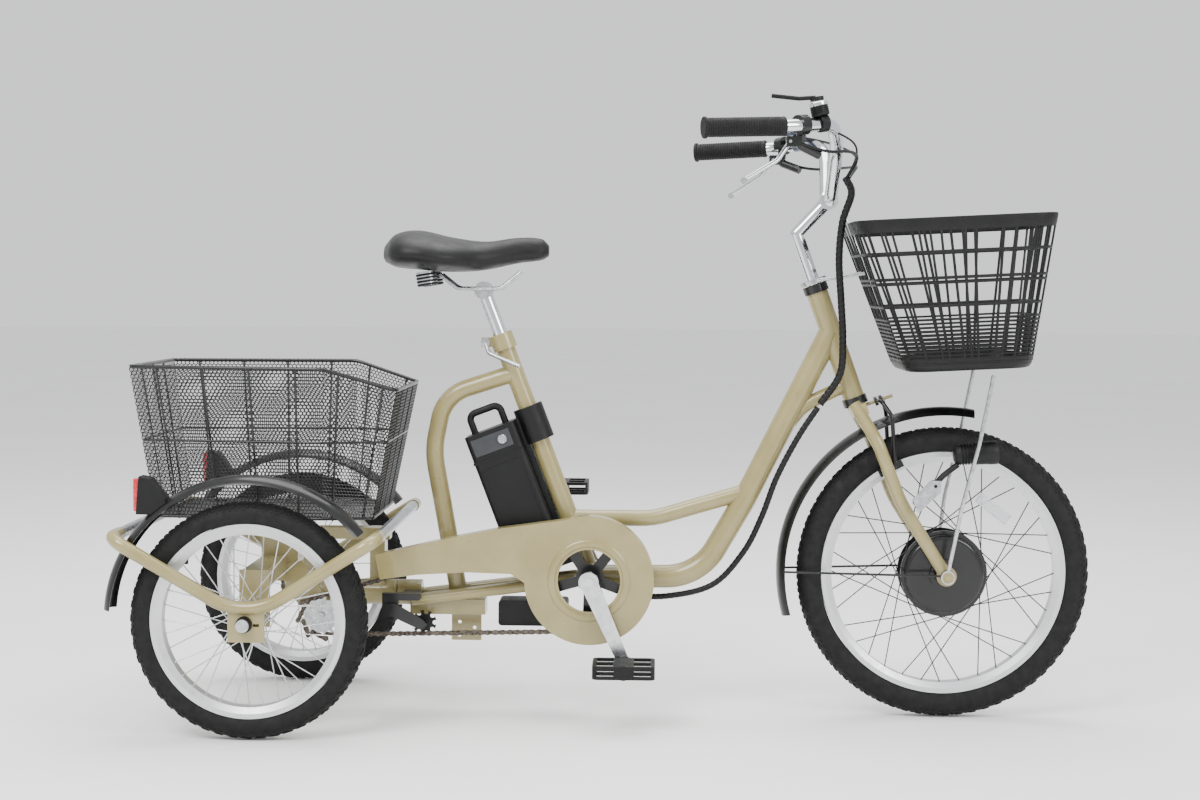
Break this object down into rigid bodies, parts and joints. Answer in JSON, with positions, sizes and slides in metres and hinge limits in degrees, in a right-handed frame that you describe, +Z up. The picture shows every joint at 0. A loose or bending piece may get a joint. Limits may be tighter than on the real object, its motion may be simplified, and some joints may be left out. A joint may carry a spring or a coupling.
{
  "type": "adult tricycle",
  "caption": "Adult electric tricycle with a low step-through frame, front hub motor, leaning rear carriage, front and rear baskets and full mudguards.",
  "frame": {"origin": "on the ground under the middle of the machine", "axes": "+X forward, +Y to the rider's left, +Z up"},
  "size_m": [1.6394, 0.6114, 1.0475],
  "materials": {
    "frame_paint": "gloss khaki paint",
    "black_paint": "semi-gloss black paint",
    "chrome": "chromed",
    "polished_alloy": "polished",
    "rim_alloy": "anodised silver",
    "zinc_steel": "zinc plated",
    "chain_steel": "oiled dark steel",
    "black_plastic": "moulded, lightly grained",
    "grey_plastic": "moulded",
    "grip_rubber": "ribbed",
    "tyre_rubber": "treaded",
    "saddle_vinyl": "padded vinyl, matt",
    "loom_sleeve": "spiral wrapped",
    "lamp_plastic": "moulded"
  },
  "bodies": {
    "frame": {"head_tube": "frame_paint", "down_tube": "frame_paint", "frame_struts": "frame_paint", "seat_tube": "frame_paint", "hoop_tube": "frame_paint", "chain_stays": "frame_paint", "pivot_beam": "frame_paint", "headset_cups": "black_paint", "chain_case": "frame_paint", "battery_mount": "black_plastic", "controller_box": "black_plastic", "tensioner_bracket": "black_paint", "frame_loom": "loom_sleeve", "drive_chain": "chain_steel"},
    "battery_pack": {"battery": "black_plastic"},
    "seat": {"seat_post": "chrome", "saddle_frame": "zinc_steel", "saddle": "saddle_vinyl"},
    "seat_clamp_lever": {"seat_lever": "zinc_steel"},
    "tensioner": {"tensioner_arm": "black_paint"},
    "jockey": {"tensioner_pulley": "black_plastic"},
    "crank": {"crank_arms": "polished_alloy", "chain_ring": "black_paint"},
    "pedal_r": {"pedal_right": "black_plastic"},
    "pedal_l": {"pedal_left": "black_plastic"},
    "carriage": {"carriage_frame": "frame_paint", "guard_tubes": "frame_paint", "rear_bars": "zinc_steel", "rear_fenders": "black_paint", "tail_lamps": "lamp_plastic", "rear_basket": "black_paint", "axle_chain": "chain_steel"},
    "layshaft": {"jackshaft": "zinc_steel"},
    "freewheel": {"axle_sprocket": "zinc_steel"},
    "wheel_right": {"right_tyre": "tyre_rubber", "right_rim": "rim_alloy", "right_hub": "polished_alloy"},
    "wheel_left": {"left_tyre": "tyre_rubber", "left_rim": "rim_alloy", "left_hub": "polished_alloy"},
    "steering": {"fork": "frame_paint", "stem": "chrome", "handlebar": "chrome", "grips": "grip_rubber", "brake_brackets": "black_paint", "bell": "chrome", "assist_panel": "grey_plastic", "front_fender": "black_paint", "basket_bracket": "zinc_steel", "front_basket": "black_plastic", "steer_loom": "loom_sleeve"},
    "lever_right": {"brake_lever_right": "polished_alloy"},
    "lever_left": {"brake_lever_left": "polished_alloy"},
    "bell_thumb": {"bell_lever": "black_paint"},
    "calliper_right": {"brake_arm_right": "black_paint"},
    "calliper_left": {"brake_arm_left": "black_paint"},
    "lamp": {"headlamp": "lamp_plastic"},
    "wheel_front": {"front_tyre": "tyre_rubber", "front_rim": "rim_alloy", "hub_motor": "black_paint"}
  },
  "joints": [
    {"name": "lean", "type": "hinge", "parent": "frame", "child": "carriage", "pos_m": [-0.46, 0, 0.205], "axis": [1, 0, 0], "range_deg": [-10, 10], "stiffness_Nm_per_rad": 320},
    {"name": "steer", "type": "hinge", "parent": "frame", "child": "steering", "pos_m": [0.38059, 0, 0.64], "axis": [-0.342, 0, 0.9397], "range_deg": [-40, 40], "deforming": ["steer_loom"]},
    {"name": "front_spin", "type": "hinge", "parent": "steering", "child": "wheel_front", "pos_m": [0.569, 0, 0.251], "axis": [0, 1, 0], "continuous": true},
    {"name": "right_spin", "type": "hinge", "parent": "carriage", "child": "wheel_right", "pos_m": [-0.583, -0.245, 0.194], "axis": [0, 1, 0], "continuous": true},
    {"name": "left_spin", "type": "hinge", "parent": "carriage", "child": "wheel_left", "pos_m": [-0.583, 0.245, 0.194], "axis": [0, 1, 0], "continuous": true},
    {"name": "crank_turn", "type": "hinge", "parent": "frame", "child": "crank", "pos_m": [-0.038, 0, 0.24], "axis": [0, 1, 0], "continuous": true, "deforming": ["drive_chain"]},
    {"name": "layshaft_turn", "type": "hinge", "parent": "carriage", "child": "layshaft", "pos_m": [-0.5, 0, 0.169], "axis": [0, 1, 0], "continuous": true, "deforming": ["axle_chain"]},
    {"name": "freewheel_turn", "type": "hinge", "parent": "carriage", "child": "freewheel", "pos_m": [-0.583, 0.2115, 0.194], "axis": [0, 1, 0], "continuous": true},
    {"name": "tension", "type": "hinge", "parent": "frame", "child": "tensioner", "pos_m": [-0.378, -0.069, 0.186], "axis": [0, 1, 0], "range_deg": [-12, 0], "stiffness_Nm_per_rad": 4, "springref_deg": 28.65},
    {"name": "jockey_turn", "type": "hinge", "parent": "tensioner", "child": "jockey", "pos_m": [-0.322, -0.045, 0.1593], "axis": [0, 1, 0], "continuous": true},
    {"name": "seat_height", "type": "slide", "parent": "frame", "child": "seat", "axis": [-0.3584, 0, 0.9336], "range_m": [-0.04, 0.06]},
    {"name": "seat_clamp", "type": "hinge", "parent": "frame", "child": "seat_clamp_lever", "pos_m": [-0.22085, 0, 0.641], "axis": [0, 1, 0], "range_deg": [-120, 0]},
    {"name": "battery_lift", "type": "slide", "parent": "frame", "child": "battery_pack", "axis": [-0.3584, 0, 0.9336], "range_m": [0, 0.012]},
    {"name": "brake_pull_right", "type": "hinge", "parent": "steering", "child": "lever_right", "pos_m": [0.282, -0.23, 0.971], "axis": [0, 1, 0], "range_deg": [0, 20], "stiffness_Nm_per_rad": 0.9, "springref_deg": -17.19},
    {"name": "brake_pull_left", "type": "hinge", "parent": "steering", "child": "lever_left", "pos_m": [0.282, 0.23, 0.971], "axis": [0, 1, 0], "range_deg": [0, 20], "stiffness_Nm_per_rad": 0.9, "springref_deg": -17.19},
    {"name": "bell_push", "type": "hinge", "parent": "steering", "child": "bell_thumb", "pos_m": [0.3245, -0.22, 1.04], "axis": [-0.1644, 0, 0.9864], "range_deg": [0, 22], "stiffness_Nm_per_rad": 0.2, "springref_deg": -17.19},
    {"name": "calliper_close_right", "type": "hinge", "parent": "steering", "child": "calliper_right", "pos_m": [0.451, 0, 0.545], "axis": [0.9397, 0, 0.342], "range_deg": [0, 0.8]},
    {"name": "calliper_close_left", "type": "hinge", "parent": "steering", "child": "calliper_left", "pos_m": [0.451, 0, 0.545], "axis": [0.9397, 0, 0.342], "range_deg": [-0.8, 0]},
    {"name": "lamp_tilt", "type": "hinge", "parent": "steering", "child": "lamp", "pos_m": [0.543, -0.078, 0.408], "axis": [0, 1, 0], "range_deg": [-12, 12]},
    {"name": "pedal_spin_right", "type": "hinge", "parent": "crank", "child": "pedal_r", "pos_m": [0.02301, -0.14, 0.10297], "axis": [0, 1, 0], "continuous": true},
    {"name": "pedal_spin_left", "type": "hinge", "parent": "crank", "child": "pedal_l", "pos_m": [-0.09901, 0.14, 0.37703], "axis": [0, 1, 0], "continuous": true}
  ],
  "couplings": [
    {"joint": "layshaft_turn", "follows": "crank_turn", "ratio": 2.875},
    {"joint": "freewheel_turn", "follows": "crank_turn", "ratio": 2.875},
    {"joint": "jockey_turn", "follows": "crank_turn", "ratio": 5.1111},
    {"joint": "calliper_close_right", "follows": "brake_pull_right", "ratio": 0.02},
    {"joint": "calliper_close_left", "follows": "brake_pull_right", "ratio": -0.02}
  ]
}
